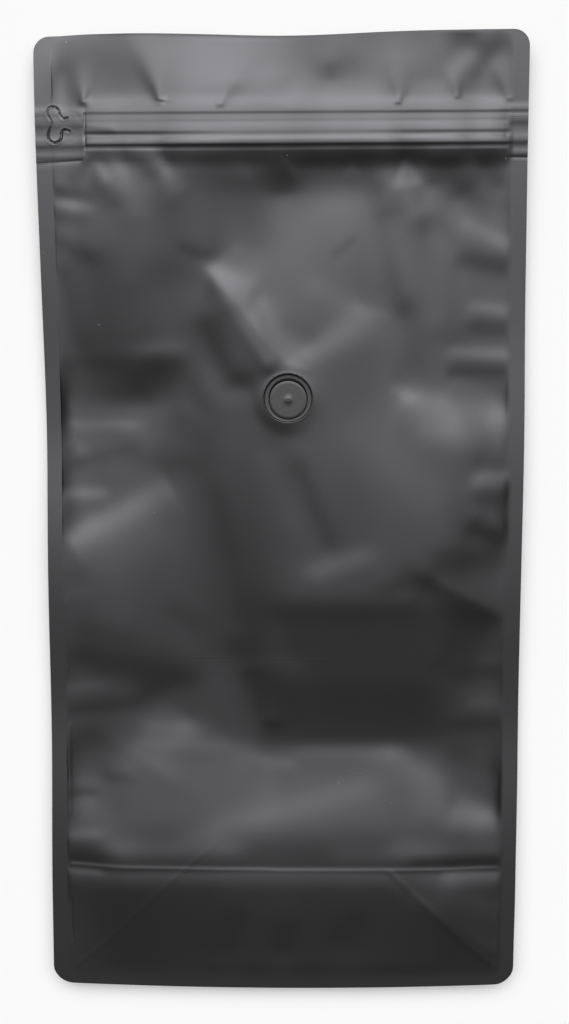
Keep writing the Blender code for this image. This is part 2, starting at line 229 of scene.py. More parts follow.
centreLeans = {
    "below valve": patch((0, 43), (6, 43), -9, 3, 3.5, 3),
    "valley slope": patch((-24, 46), (-19, -50), -16, 13, 13, 12, flat=True),
    "valley low": patch((-21, -50), (-15, -78), -9, 7, 6, 5),
    "valley dark": patch((-26, 12), (-19, -34), -6, 5, 6, 8),
    "valley left shade": patch((-22, 25), (-22, -8), -3, 6),
    "valley tip": patch((-15, -62), (-9, -90), -13, 9, 7, 2, flare=0.5),
    "valley point": patch((-7, -84), (-7.5, -92), -22, 6, 3.5, 1.4),
    "centre shade": patch((7, 26), (19, -4), -8, 4.5, 5, 5),
    "centre light": patch((-6, 30), (2, 4), 3, 5),
    "centre glow": patch((14, -17), (32, -11), 10, 5, 5, 6),
    "centre glow foot": patch((44, -24), (58, -20), -7, 4, 4, 6),
    "centre brow": patch((50, -18), (74, -17), -5, 5, 5, 4),
    "centre shade low": patch((0, -33), (50, -33), -7, 6, 6, 8),
    "right hump shade": patch((60, -22), (87, -37), -16, 2.2, 8, 4),
    "right plain shade": patch((66, -11), (90, -12), -9, 5, 6, 6),
    "big shade": patch((6, -44), (82, -43), -12, 12, 13, 10, flat=True),
    "big shade low": patch((-2, -76), (60, -76), -15, 16, 17, 8, flat=True),
    "right shade low": patch((74, -62), (90, -60), -7, 5, 5, 4),
    "right ripple 10": patch((84, -56), (92, -56), 4, 2.6),
    "right ripple 11": patch((80, -74), (90, -74), 6, 3.5),
    "right shade band": patch((64, -58), (86, -60), -4, 5),
    "centre dusk": patch((12, -58), (64, -57), -5, 4, 5, 5),
    "right ripple 12": patch((74, -84), (92, -83), -8, 3.6, 3.6, 5),
}

baseLeans = {
    "base rise": patch((-64, -113), (66, -113), 17, 20, 21, 20, flat=True),
    "base peak": patch((-47, -80), (-58, -98), 18, 10, 13, 3.5, flare=1.6, fade=0.6),
    "base peak top": patch((-56, -85), (-40, -85.5), 10, 4.5, 5, 5),
    "base peak right": patch((-42, -84), (-14, -95), 13, 4.8, 8, 4),
    "base brink": patch((-10, -95.2), (46, -95.7), 12, 3.2, 4, 6),
    "base slope light": patch((-60, -92), (-17, -93.5), 6, 3),
    "base tongue light": patch((-9, -99.5), (2, -101), 11, 2.5, 3, 3),
    "base brink shade": patch((4, -91), (50, -90), -5, 4, 3, 6),
    "base glow": patch((-24, -127), (30, -112), 7, 6, 7, 10),
    "base glow right": patch((46, -96), (84, -122), 9, 5, 7),
    "base corner glow": patch((74, -123), (91, -126), 17, 6, 8, 5),
    "base right shade": patch((72, -97), (92, -104), -7, 6, 5, 4),
    "base right edge": patch((84, -100), (88, -122), 8, 5, 5, 6),
    "base left shade": patch((-94, -94), (-82, -88), -8, 6),
    "base left glow": patch((-88, -112), (-72, -134), 10, 8),
    "base left light": patch((-72, -99), (-66, -101), 5, 5),
    "base right glow": patch((60, -118), (90, -130), 5, 7, 7, 6),
    "left dimple": patch((-91, -113), (-82, -113), -12, 2.0, 2.0, 3),
    "left dimple 2": patch((-75, -106), (-66, -107), -5, 2.2, 2.2, 3),
    "left base light": patch((-88, -128), (-80, -112), 9, 8),
    "base foot left": patch((-90, -130), (-84, -130), 5, 5, 5, 4),
    "left dimple light": patch((-91, -131.5), (-80, -130.5), 11, 2.8, 2.8, 4),
    "base foot": patch((-70, -137), (-24, -137), 12, 5, 4, 8),
    "base foot light": patch((-40, -131), (-30, -130), 4, 4),
    "base foot right": patch((50, -137), (90, -137), 11, 6, 4, 6),
    "base foot right wide": patch((24, -139), (90, -139), 6, 4, 4, 5),
    "crease shade": patch((-92, -141), (-76, -140.6), -7, 2.2, 2.0, 4),
    "crease shade right": patch((58, -142.5), (92, -142), -8, 2.4, 2.2, 5),
    "crease light": patch((-90, -147.4), (90, -148.4), 16, 1.8, 4.6, 3),
    "crease light left": patch((-92, -145.8), (-80, -146.6), 13, 1.6, 2.2, 3),
    "crease light right": patch((70, -147.4), (92, -147.6), 16, 1.8, 5.6, 4),
    "flap": patch((-60, -174), (68, -174), 2, 18, 20, 16, flat=True),
    "flap shade 1": patch((-22, -165), (-27, -182), -5, 7, 6, 4),
    "flap shade 2": patch((0, -172), (-1, -180), -7, 5),
    "flap shade 3": patch((30, -167), (25, -175), -5, 6),
    "flap right": patch((56, -157), (88, -181), 9, 11, 1.8, 4),
    "flap right light": patch((48, -154), (56, -160), 5, 3),
    "flap right seal": patch((70, -155), (92, -163), 12, 8, 7, 6),
    "bottom shade": patch((-30, -192), (60, -193), -5, 4),
}

leanGroups = (mouthLeans, zipperLeans, middleLeans, leftLeans, centreLeans, baseLeans)


def smoothStep(value):
    clipped = np.clip(value, 0.0, 1.0)
    return clipped * clipped * (3 - 2 * clipped)


def besideLine(x, y, start, end):
    # how far a place is along a line, how far to its left, and how far past its ends
    runX, runY = end[0] - start[0], end[1] - start[1]
    length = math.hypot(runX, runY)
    along = ((x - start[0]) * runX + (y - start[1]) * runY) / length
    aside = ((y - start[1]) * runX - (x - start[0]) * runY) / length
    beyond = np.maximum(np.maximum(-along, along - length), 0.0)
    return along, aside, beyond, length


def spreadOf(x, y, p):
    # how strongly a patch shows at a place: 1 on its line
    along, aside, beyond, length = besideLine(x, y, p["start"], p["end"])
    share = np.clip(along / length, 0.0, 1.0)
    reach = np.where(aside > 0, p["left"], p["right"]) * (1 + (p["flare"] - 1) * share)
    beyond = beyond / p["past"]
    power = 4 if p["flat"] else 2
    across = np.abs(aside / reach) ** power + beyond ** 2
    return (1 + (p["fade"] - 1) * share) * np.exp(-across)


def halfWidthAt(y):
    along = y / halfLength
    return halfWide - bag["sideDraw"] * (1 - along * along)


# The empty bag's side seals are not straight: they droop towards the table in places, and
# the film beside them droops with them. side is -1 for the left seal and 1 for the right.

droopFrom = 60               # the film droops between here and the seal
droopRun = 30
droops = {
    "left middle": dict(side=-1, y=46, drop=3.5, above=60, below=38),
    "left low": dict(side=-1, y=-76, drop=2.0, above=38, below=36),
    "left mouth": dict(side=-1, y=212, drop=2.6, above=30, below=27),
    "right middle": dict(side=1, y=84, drop=1.9, above=58, below=38),
    "right low": dict(side=1, y=-82, drop=2.3, above=40, below=36),
}


def droopAt(x, y):
    height = np.zeros_like(x)
    for droop in droops.values():
        reach = np.where(y > droop["y"], droop["above"], droop["below"])
        beside = smoothStep((droop["side"] * x - droopFrom) / droopRun)
        height -= droop["drop"] * beside * np.exp(-((y - droop["y"]) / reach) ** 2)
    return height


# The slack film between the seals takes the smoothest shape that has all these leans.

def settleFilm(step=0.5):
    reachX = halfWide - bag["sealHold"]
    xs = np.arange(-reachX + step, reachX, step)
    ys = np.arange(bag["bottomHold"] - halfLength, halfLength - bag["mouthHold"], step)
    x, y = np.meshgrid(xs, ys)
    lean = np.zeros_like(x)
    for group in leanGroups:
        for p in group.values():
            lean += 0.01 * p["lean"] * spreadOf(x, y, p)
    lean += np.gradient(droopAt(x, y), step, axis=0)
    pull = -np.gradient(lean, step, axis=0)
    rows, columns = pull.shape
    mirrored = np.zeros((2 * rows + 2, 2 * columns + 2))
    mirrored[1:rows + 1, 1:columns + 1] = pull
    mirrored[rows + 2:, 1:columns + 1] = -pull[::-1]
    mirrored[:, columns + 2:] = -mirrored[:, columns:0:-1]
    waveY = 2 * np.pi * np.fft.fftfreq(mirrored.shape[0], step)[:, None]
    waveX = 2 * np.pi * np.fft.fftfreq(mirrored.shape[1], step)[None, :]
    bend = waveY ** 2 + (bag["stiffness"] * waveX) ** 2
    bend[0, 0] = 1.0
    settled = np.fft.ifft2(-np.fft.fft2(mirrored) / bend).real
    return xs, ys, settled[1:rows + 1, 1:columns + 1]


def sampled(xs, ys, values, x, y):
    # smooth reading between the settled film's points
    columnAt = np.clip((x - xs[0]) / (xs[1] - xs[0]), 0, len(xs) - 1.001)
    rowAt = np.clip((y - ys[0]) / (ys[1] - ys[0]), 0, len(ys) - 1.001)
    column, row = columnAt.astype(int), rowAt.astype(int)
    right, up = columnAt - column, rowAt - row
    low = values[row, column] * (1 - right) + values[row, column + 1] * right
    high = values[row + 1, column] * (1 - right) + values[row + 1, column + 1] * right
    inside = (x >= xs[0]) & (x <= xs[-1]) & (y >= ys[0]) & (y <= ys[-1])
    return np.where(inside, low * (1 - up) + high * up, 0.0)


settledX, settledY, settledFilm = settleFilm()


def reliefOf(x, y):
    side = smoothStep((halfWidthAt(y) - np.abs(x) - bag["sealWidth"]) / bag["sideShoulder"])
    swell = smoothStep((y - bag["puffStart"]) / bag["puffRise"])
    lengthwise = swell * smoothStep((halfLength - y) / bag["puffFall"])
    puff = bag["puff"] * side * lengthwise
    return puff + droopAt(x, y) + sampled(settledX, settledY, settledFilm, x, y)


def lineGap(x, y, start, end):
    # distance to a straight run from start to end
    aside, beyond = besideLine(x, y, start, end)[1:3]
    return np.hypot(aside, beyond)


def arcGap(x, y, centre, radius, fromDegrees, toDegrees):
    # distance to an arc, which runs anticlockwise
    turn = (np.degrees(np.arctan2(y - centre[1], x - centre[0])) - fromDegrees) % 360
    onArc = turn <= (toDegrees - fromDegrees)
    ring = np.abs(np.hypot(x - centre[0], y - centre[1]) - radius)
    ends = []
    for degrees in (fromDegrees, toDegrees):
        angle = math.radians(degrees)
        ends.append(np.hypot(x - centre[0] - radius * math.cos(angle),
                             y - centre[1] - radius * math.sin(angle)))
    return np.where(onArc, ring, np.minimum(ends[0], ends[1]))


# Press-to-close zipper behind the film: the film steps over its ribs, all along x.
# Each step: where it is, its rise towards the mouth, half its run, and its share at
# the left end, in the middle and at the right end of the zipper.

zipper = {
    "start": zipLow[0],
    "stop": zipHigh[0],
    "level": 3.5,            # usual rise of the film here
    "bow": 0.158,            # the zipper bows this much for each millimetre of extra rise
    "middle": 164.0,
    "endRuns": (0.7, 1.2),   # how softly it starts and stops
    "foot": 150.0,           # the film comes back to its level between the foot and the flange
    "back": 24.0,
    "sharePlaces": (-60, -20, 30, 65),
    "steps": {
        "upper groove": dict(y=168.2, rise=0.24, run=0.48, shares=(1.0, 0.9, 1.2)),
        "hair groove": dict(y=165.2, rise=0.04, run=0.35, shares=(1.0, 1.0, 1.6)),
        "flat rib": dict(y=163.6, rise=-0.12, run=0.9, shares=(0.6, 1.0, 1.0)),
        "middle groove": dict(y=160.4, rise=0.34, run=0.65, shares=(1.4, 0.35, 1.1)),
        "crest": dict(y=158.4, rise=-0.34, run=0.80, shares=(1.0, 1.0, 1.0)),
        "edge": dict(y=155.5, rise=0.46, run=0.50, shares=(1.0, 1.0, 1.0)),
        "lower bead": dict(y=153.8, rise=-0.20, run=0.40, shares=(0.9, 0.7, 0.9)),
    },
    # the same ribs squashed flat in the seals: place and rise in the left and the right seal
    "squashed": {
        "flange": dict(left=170.2, right=171.0, rises=(-0.30, -0.30), run=1.1),
        "groove": dict(left=167.9, right=168.7, rises=(0.04, 0.16), run=0.5),
        "rib": dict(left=166.6, right=167.4, rises=(-0.04, -0.14), run=0.5),
        "middle": dict(left=163.2, right=163.9, rises=(0.26, 0.34), run=1.2),
        "crest": dict(left=158.6, right=159.2, rises=(-0.32, -0.22), run=1.2),
        "edge": dict(left=155.3, right=156.1, rises=(0.26, 0.40), run=0.9),
        "bead": dict(left=152.6, right=153.4, rises=(-0.08, -0.10), run=0.6),
        "foot": dict(left=150.7, right=151.3, rises=(0.14, 0.24), run=0.6),
    },
}


def stepUp(y, place, rise, run):
    return 0.5 * rise * (1 + np.tanh((y - place) / run))


def zipperRibs(x, y):
    startRun, stopRun = zipper["endRuns"]
    inside = smoothStep((x - zipper["start"]) / startRun) * smoothStep((zipper["stop"] - x) / stopRun)
    rise = reliefOf(x, np.full_like(x, zipper["middle"])) - zipper["level"]
    bowed = y + zipper["bow"] * rise * inside
    back = smoothStep((bowed - zipper["foot"]) / zipper["back"])
    onBag, inSeal = np.zeros_like(x), np.zeros_like(x)
    for rib in zipper["steps"].values():
        left, middle, right = rib["shares"]
        strength = rib["rise"] * np.interp(x, zipper["sharePlaces"], (left, middle, middle, right))
        onBag += stepUp(bowed, rib["y"], strength, rib["run"]) - strength * back
    for rib in zipper["squashed"].values():
        place = np.where(x < 0, rib["left"], rib["right"])
        strength = np.where(x < 0, rib["rises"][0], rib["rises"][1])
        inSeal += stepUp(y, place, strength, rib["run"]) - strength * back
    return onBag * inside + inSeal * (1 - inside)


# Pinches: small creases that fan out from a point. The film steps up on one side of each
# line (left 1, right -1, looking away from the point) and sinks back beyond it.

def pinch(apex, far, rise, run, flare, reach, fade, side=-1):
    return dict(apex=apex, far=far, rise=rise, run=run, flare=flare, reach=reach, fade=fade, side=side)


pinches = {
    "mouth 1": pinch((-80, 172.8), (-90, 184.0), 0.85, 2.2, 3.4, 16, 1.0),
    "mouth 1 right": pinch((-79, 173.0), (-73.0, 180), 0.4, 1.8, 2.8, 6, 0.5, side=1),
    "mouth 2": pinch((-49.0, 173.4), (-61, 195), 1.15, 1.6, 3.0, 14, 0.6),
    "mouth 3": pinch((-25.0, 171), (-27.6, 175.5), 0.2, 0.9, 2.0, 4, 0.2),
    "mouth 3 right": pinch((-23.8, 171.2), (-15, 182.5), 0.5, 1.2, 2.6, 6, 0.25, side=1),
    "mouth 4": pinch((46.2, 172.2), (42.3, 185), 0.55, 1.1, 2.4, 7, 0.4),
    "mouth 4 right": pinch((46.8, 172.2), (52.8, 178.5), 0.34, 1.1, 2.2, 5, 0.3, side=1),
    "mouth 5": pinch((69.6, 174.4), (63, 187), 0.55, 1.4, 2.4, 7, 0.4),
    "mouth 5 right": pinch((70.4, 174.4), (73.5, 178), 0.2, 1.2, 1.6, 4, 0.2, side=1),
    "mouth 6": pinch((90.4, 173.6), (82.5, 187), 0.65, 1.4, 2.0, 5, 0.6),
}


def pinched(x, y):
    height = np.zeros_like(x)
    for p in pinches.values():
        along, aside, beyond, length = besideLine(x, y, p["apex"], p["far"])
        aside = p["side"] * aside
        share = np.clip(along / length, 0.0, 1.0)
        run = p["run"] * (1 + (p["flare"] - 1) * share)
        reach = run + p["reach"] * share
        beyond = beyond / np.where(along < 0, p["run"], 0.8 * length)
        raised = 0.5 * (1 + np.tanh(aside / run)) * np.exp(-(np.maximum(aside, 0) / reach) ** 2)
        height += p["rise"] * (1 + (p["fade"] - 1) * share) * raised * np.exp(-beyond ** 2)
    return height


# Die-cut tear tab in the left seal: a dog-bone slit that is joined on its right.

tab = {
    "depth": 0.26,           # of the cut round the upper lobe
    "lowerDepth": 0.42,      # and round the lower one
    "width": 0.26,
    "lowerWidth": 0.36,
    "lowerFrom": 164.5,      # the cut changes from one to the other below here
    "changeRun": 4.0,
    "rim": 0.06,             # the film stands up this much beside the cut
    "rimGap": 0.75,
    "rimWidth": 0.4,
    "pressed": 0.05,         # a faint ring is pressed into the film right of the tab
    "ring": (-86.2, 163.4),
    "ringRadius": 6.2,
    "ringSoft": (0.6, 0.4),  # how softly, on its inside and on its outside
    "ringFrom": -88.0,
    "ringRun": 3.0,
}

# straight runs of the cut, from start to end
tabRuns = {
    "upper neck": ((-89.25, 168.5), (-88.4, 167.3)),
    "upper hook": ((-87.1, 166.72), (-86.0, 167.0)),
    "above the waist": ((-93.57, 167.6), (-92.75, 166.3)),
    "below the waist": ((-92.8, 162.85), (-93.6, 161.0)),
    "lower neck": ((-88.64, 160.5), (-88.3, 161.3)),
    "lower hook": ((-86.7, 162.1), (-85.4, 161.6)),
}

# arcs of the cut: centre, radius, and the two ends in degrees
tabArcs = {
    "upper lobe": ((-91.6, 168.95), 2.4, -10, 215),
    "upper bend": ((-87.45, 167.65), 1.0, 200, 290),
    "waist": ((-95.6, 164.6), 3.3, -32, 32),
    "lower lobe": ((-91.2, 159.8), 2.65, 155, 375),
    "lower bend": ((-87.2, 161.2), 1.05, 60, 175),
}


def tearTab(x, y):
    gap = np.full_like(x, np.inf)
    for start, end in tabRuns.values():
        gap = np.minimum(gap, lineGap(x, y, start, end))
    for centre, radius, fromDegrees, toDegrees in tabArcs.values():
        gap = np.minimum(gap, arcGap(x, y, centre, radius, fromDegrees, toDegrees))
    lower = smoothStep((tab["lowerFrom"] - y) / tab["changeRun"])
    depth = tab["depth"] + (tab["lowerDepth"] - tab["depth"]) * lower
    width = tab["width"] + (tab["lowerWidth"] - tab["width"]) * lower
    cut = -depth * np.exp(-(gap / width) ** 4)
    rim = tab["rim"] * np.exp(-((gap - tab["rimGap"]) / tab["rimWidth"]) ** 2)
    ring = np.hypot(x - tab["ring"][0], y - tab["ring"][1]) - tab["ringRadius"]
    pressed = np.exp(-(ring / np.where(ring < 0, *tab["ringSoft"])) ** 2)
    return cut + rim - tab["pressed"] * pressed * smoothStep((x - tab["ringFrom"]) / tab["ringRun"])


# Fold across the bag above the bottom gusset, its two diagonals and the sharp marks in the film.

bottomFold = {
    "left": (-90, -144.2),
    "middle": (0, -146.6),
    "right": (90, -146.0),
    "ledge": 0.26,
    "reach": 1.0,            # how sharply it rises above the line,
    "lowerReach": 3.5,       # and sinks again below it
    "stop": 92.5,            # it fades out at the seals
    "stopRun": 2.5,
}

def crease(start, end, rise, reach):
    return dict(start=start, end=end, rise=rise, reach=reach)


creases = {
    "right diagonal": crease((45, -147), (91, -192), 0.15, 0.9),
    "left diagonal": crease((-89, -190), (-48, -150), 0.07, 0.8),
    "left diagonal tip": crease((-48, -150), (-30, -135), 0.06, 0.8),
    "upper left seal fold": crease((-91.2, -30), (-91.0, -60), 0.12, 0.6),
    "lower left seal fold": crease((-91.0, -84), (-91.0, -122), 0.12, 0.6),
    "left seal nick": crease((-91.2, -160), (-91.0, -177), -0.16, 0.6),
    "right seal fold": crease((91.2, -112), (91.6, -190), 0.14, 0.8),
    "seal line left": crease((-99, 149.0), (-81, 149.9), -0.15, 0.5),
    "seal line right": crease((92.5, 150.5), (99, 150.3), -0.12, 0.5),
    "mouth nick": crease((-49.5, 172.9), (-45.3, 171.8), -0.12, 0.6),
    "zipper left end": crease((-79.1, 156.5), (-79.1, 168.3), -0.16, 0.4),
}


def foldLine(x):
    left, middle, right = bottomFold["left"], bottomFold["middle"], bottomFold["right"]
    return np.interp(x, (left[0], middle[0], right[0]), (left[1], middle[1], right[1]))


def sharpMarks(x, y):
    below = foldLine(x) - y
    inside = smoothStep((bottomFold["stop"] - np.abs(x)) / bottomFold["stopRun"])
    ledge = np.where(below > 0, np.exp(-below / bottomFold["lowerReach"]),
                     np.exp(-(below / bottomFold["reach"]) ** 2))
    height = bottomFold["ledge"] * inside * ledge
    for mark in creases.values():
        gap = lineGap(x, y, mark["start"], mark["end"])
        height += mark["rise"] * np.exp(-(gap / mark["reach"]) ** 2)
    return height


# The film rises to the valve's lip all round and is cut away inside it.

collar = {
    "shiftX": 0.15,
    "shiftY": 0.45,
    "radius": 10.35,
    "level": 0.8,            # how much of the film's own slope is taken out beside the valve
    "levelReach": 3.0,
    "rise": 0.55,
    "reach": 3.0,
    "sunk": 2.4,
    "lipReach": 13.0,        # the lip's level is the film's mean height this far out
}
collarX = valveX + collar["shiftX"]
collarY = valveY + collar["shiftY"]


def plainFilm(x, y):
    height = reliefOf(x, y) + zipperRibs(x, y) + pinched(x, y) + tearTab(x, y) + sharpMarks(x, y)
    spare = height + bag["edgeHeight"] - bag["leastHeight"]
    soft = bag["softness"]
    return bag["leastHeight"] + 0.5 * (spare + np.sqrt(spare * spare + soft * soft))


around = np.radians(np.arange(0, 360, 10))
lipLevel = float(np.mean(plainFilm(collarX + collar["lipReach"] * np.cos(around),
                                   collarY + collar["lipReach"] * np.sin(around))))


def filmHeight(x, y):
    height = plainFilm(x, y)
    out = np.maximum(np.hypot(x - collarX, y - collarY) - collar["radius"], 0)
    height = height + (lipLevel - height) * collar["level"] * np.exp(-(out / collar["levelReach"]) ** 2)
    return height + collar["rise"] * np.exp(-out / collar["reach"])


def selectNone():
    bpy.ops.object.select_all(action="DESELECT")


def pick(piece, kind, wanted):
    # in edit mode, leaves only the vertices, edges or faces selected that pass a test
    bpy.ops.object.mode_set(mode="EDIT")
    bpy.ops.mesh.select_mode(type=kind)
    bpy.ops.mesh.select_all(action="DESELECT")
    bpy.ops.object.mode_set(mode="OBJECT")
    mesh = piece.data
    for item in {"VERT": mesh.vertices, "EDGE": mesh.edges, "FACE": mesh.polygons}[kind]:
        item.select = wanted(item)
    bpy.ops.object.mode_set(mode="EDIT")


# A slack bag's outline is not quite straight. How far its edges lie off the true rectangle:

outline = {
    "endFrom": 176,          # the end edges move all that lies beyond here
    "sideFrom": 84,
    "mouthLevel": -0.1,
    "mouthTilt": 0.45,       # rise of the mouth from the middle to the right side
    "mouthDip": 1.6,         # the mouth dips at mid width
    "dipX": 3.0,
    "dipReach": 36.0,
    "cornerDip": 0.5,        # and a little at its left corner,
    "cornerFrom": 76,        # from here on, over this much
    "cornerRun": 18,
    "bottomLevel": 0.7,
    "bottomBow": 2.3,        # the bottom edge bulges
    "bottomTilt": -0.2,
    # the long sides sway together along the bag: how much, from where and over how much
    "middleSway": (0.6, 40, 55),
    "bottomSway": (-0.65, 90, 70),
    "mouthSway": (-0.3, 110, 60),
    "rightDraw": (0.6, 150, 45),     # and the right one draws in near the bottom
    "sideRun": 12,
}


def endShift(x, y):
    o = outline
    across = x / halfWide
    dip = o["mouthDip"] * np.exp(-((x - o["dipX"]) / o["dipReach"]) ** 2)
    corner = o["cornerDip"] * smoothStep((-x - o["cornerFrom"]) / o["cornerRun"])
    mouth = o["mouthTilt"] * across + o["mouthLevel"] - dip - corner
    bottom = o["bottomLevel"] + o["bottomBow"] * across * across + o["bottomTilt"] * across
    run = halfLength - o["endFrom"]
    return (mouth * smoothStep((y - o["endFrom"]) / run)
            + bottom * smoothStep((-y - o["endFrom"]) / run))


def sideShift(x, y):
    def endSway(name, along):
        amount, place, run = outline[name]
        return amount * smoothStep((along - place) / run)

    amount, place, run = outline["middleSway"]
    sway = amount * np.exp(-((y - place) / run) ** 2) + endSway("bottomSway", -y) + endSway("mouthSway", y)
    drawn = endSway("rightDraw", -y) * (x > 0)
    return (sway - drawn) * smoothStep((np.abs(x) - outline["sideFrom"]) / outline["sideRun"])


# Front film: a closed panel whose top is the slack film, with fine rows where the detail is.

valveCell = 0.55             # spacing of the vertices round the valve,
valveReach = 11.6            # out to here
ringCatch = 0.62             # those within this share of a cell go onto the lip

# stretches across the bag, from its left side: where each stops, and its spacing
frontColumns = {
    "left edge": (-97.0, 0.75),
    "beside the tab": (-95.0, 0.66),
    "tear tab": (-84.4, 0.33),
    "right of the tab": (-80.8, 0.6),
    "zipper's end": (-78.0, 0.35),
    "left film": (collarX - valveReach, 1.04),
    "valve": (collarX + valveReach, valveCell),
    "right film": (halfWide, 1.04),
}

# and along it, from the bottom corners to the mouth's
frontRows = {
    "gusset": (-149.0, 1.42),
    "fold": (-141.5, 0.5),
    "lower film": (collarY - valveReach, 1.42),
    "valve": (collarY + valveReach, valveCell),
    "upper film": (149.0, 1.42),
    "zipper": (174.5, 0.31),
    "mouth": (halfLength - bag["mouthCorner"], 1.2),
}

# The films' fins: height of the fin's inner face, and its steps inwards (inset, height)
frontFin = ((0.0, 7.4), (6.5, 7.4), (10.0, 1.1))
backFin = ((0.0, 6.8), (6.5, 6.8), (16.0, 0.95))
finLevel = 5.0               # the parts of a fin above this droop with the seals


def spaced(start, stretches):
    places = [start]
    for stop, step in stretches.values():
        count = max(2, int(round((stop - places[-1]) / step)) + 1)
        places += list(np.linspace(places[-1], stop, count))[1:]
    return places


def cornerRows(radius):
    # (how far in from the end, how much narrower the bag is there) round a corner
    turns = [math.radians(angle) for angle in (0, 10, 20, 32, 45, 60, 75)]
    return [(radius * (1 - math.cos(turn)), radius * (1 - math.sin(turn))) for turn in turns]


def rowsWithCorners(stretches):
    # (place along the bag, how much narrower the bag is there), from the bottom to the mouth
    bottom = [(inward - halfLength, inset) for inward, inset in cornerRows(bag["bottomCorner"])]
    mouth = [(halfLength - inward, inset) for inward, inset in cornerRows(bag["mouthCorner"])]
    places = spaced(bag["bottomCorner"] - halfLength, stretches)
    return np.array(bottom + [(place, 0.0) for place in places] + mouth[::-1])


def panelSheet(name, columnStretches, rowStretches):
    # a plain grid primitive, laid out on its own columns and rows
    columns = np.array(spaced(-halfWide, columnStretches))
    rows = rowsWithCorners(rowStretches)
    selectNone()
    bpy.ops.mesh.primitive_grid_add(x_subdivisions=len(columns) - 1, y_subdivisions=len(rows) - 1, size=2)
    sheet = bpy.context.object
    sheet.name = name
    count = len(sheet.data.vertices)
    flat = np.zeros(count * 3)
    sheet.data.vertices.foreach_get("co", flat)
    co = flat.reshape(-1, 3)
    column = np.round((co[:, 0] + 1) / 2 * (len(columns) - 1)).astype(int)
    row = np.round((co[:, 1] + 1) / 2 * (len(rows) - 1)).astype(int)
    y = rows[row, 0]
    x = columns[column] * (halfWidthAt(y) - rows[row, 1]) / halfWide
    return sheet, x, y


def placeVertices(sheet, x, y, z):
    co = np.stack([x, y, z], 1) * mm
    sheet.data.vertices.foreach_set("co", co.ravel())
    sheet.data.update()


def droopVertices(vertices):
    places = np.array([(vertex.co.x, vertex.co.y) for vertex in vertices]) / mm
    for vertex, drop in zip(vertices, droopAt(places[:, 0], places[:, 1])):
        vertex.co.z += drop * mm


def closePanel(sheet, steps):
    # the panel's rim goes straight to the fin's inner face, then inwards in steps, and is filled
    sheetCount = len(sheet.data.vertices)
    selectNone()
    sheet.select_set(True)
    bpy.context.view_layer.objects.active = sheet
    bpy.ops.object.mode_set(mode="EDIT")
    bpy.ops.mesh.select_mode(type="EDGE")
    bpy.ops.mesh.select_all(action="DESELECT")
    bpy.ops.mesh.select_non_manifold()
    bpy.ops.mesh.extrude_region_move()
    bpy.ops.object.mode_set(mode="OBJECT")
    lastInset, lastHeight = steps[0]
    for vertex in sheet.data.vertices:
        if vertex.select:
            vertex.co.z = lastHeight * mm
    bpy.ops.object.mode_set(mode="EDIT")
    for inset, height in steps[1:]:
        bpy.ops.mesh.extrude_region_move()
        shrinkX = (halfWide - inset) / (halfWide - lastInset)
        shrinkY = (halfLength - inset) / (halfLength - lastInset)
        bpy.ops.transform.resize(value=(shrinkX, shrinkY, 1), center_override=(0, 0, 0))
        bpy.ops.transform.translate(value=(0, 0, (height - lastHeight) * mm))
        lastInset, lastHeight = inset, height
    bpy.ops.mesh.edge_face_add()
    bpy.ops.mesh.select_all(action="SELECT")
    bpy.ops.mesh.normals_make_consistent(inside=False)
    bpy.ops.object.mode_set(mode="OBJECT")
    finVertices = [vertex for vertex in sheet.data.vertices[sheetCount:] if vertex.co.z > finLevel * mm]
    droopVertices(finVertices)
    bpy.ops.object.shade_smooth_by_angle(angle=math.radians(48))


def makeFrontPanel():
    sheet, x, y = panelSheet("frontPanel", frontColumns, frontRows)
    # a ring of vertices is drawn onto the valve's lip, so that the film ends there cleanly
    awayX, awayY = x - collarX, y - collarY
    ring = np.maximum(np.hypot(awayX, awayY), 1e-6)
    close = np.abs(ring - collar["radius"]) < ringCatch * valveCell
    pulled = np.where(close, collar["radius"] / ring, 1.0)
    x, y = collarX + awayX * pulled, collarY + awayY * pulled
    ring = np.hypot(x - collarX, y - collarY)
    z = filmHeight(x, y)
    z = np.where(ring < collar["radius"] - 0.01, lipLevel - collar["sunk"], z)
    placeVertices(sheet, x + sideShift(x, y), y + endShift(x, y), z)
    closePanel(sheet, frontFin)
    return sheet


frontPanel = makeFrontPanel()
print("valve lip at", round(lipLevel, 2), "mm")
print("front film:", len(frontPanel.data.polygons), "faces")


# Back film: it lies on the table, its edges curve up to the seals, and its shallow ripples
# only rise into the bag.

backColumns = {"whole width": (halfWide, 3.0)}
backRows = {
    "gusset": (-152.0, 3.2),
    "fold": (-140.0, 0.9),
    "film": (150.0, 3.2),
    "zipper": (176.0, 0.8),
    "mouth": (halfLength - bag["mouthCorner"], 3.2),
}

backFilm = {
    "ripple": 0.16,
    "highest": 0.7,          # ripples are cut off here
    "flatSide": 9.0,         # none this close to the sides, and they grow over this much
    "sideRun": 12,
    "flatEnd": 4,            # and the same at the ends
    "endRun": 20,
    "sealEdge": 7.0,         # the seals are level this far in,
    "curve": 9.0,            # and the film comes down to the table over this much
    "clear": 1.2,            # least gap under the front film
    # raised bands across it: place, rise and reach
    "bands": ((158.0, 0.25, 1.6), (169.0, 0.15, 1.4), (-146.0, 0.3, 1.8)),
}


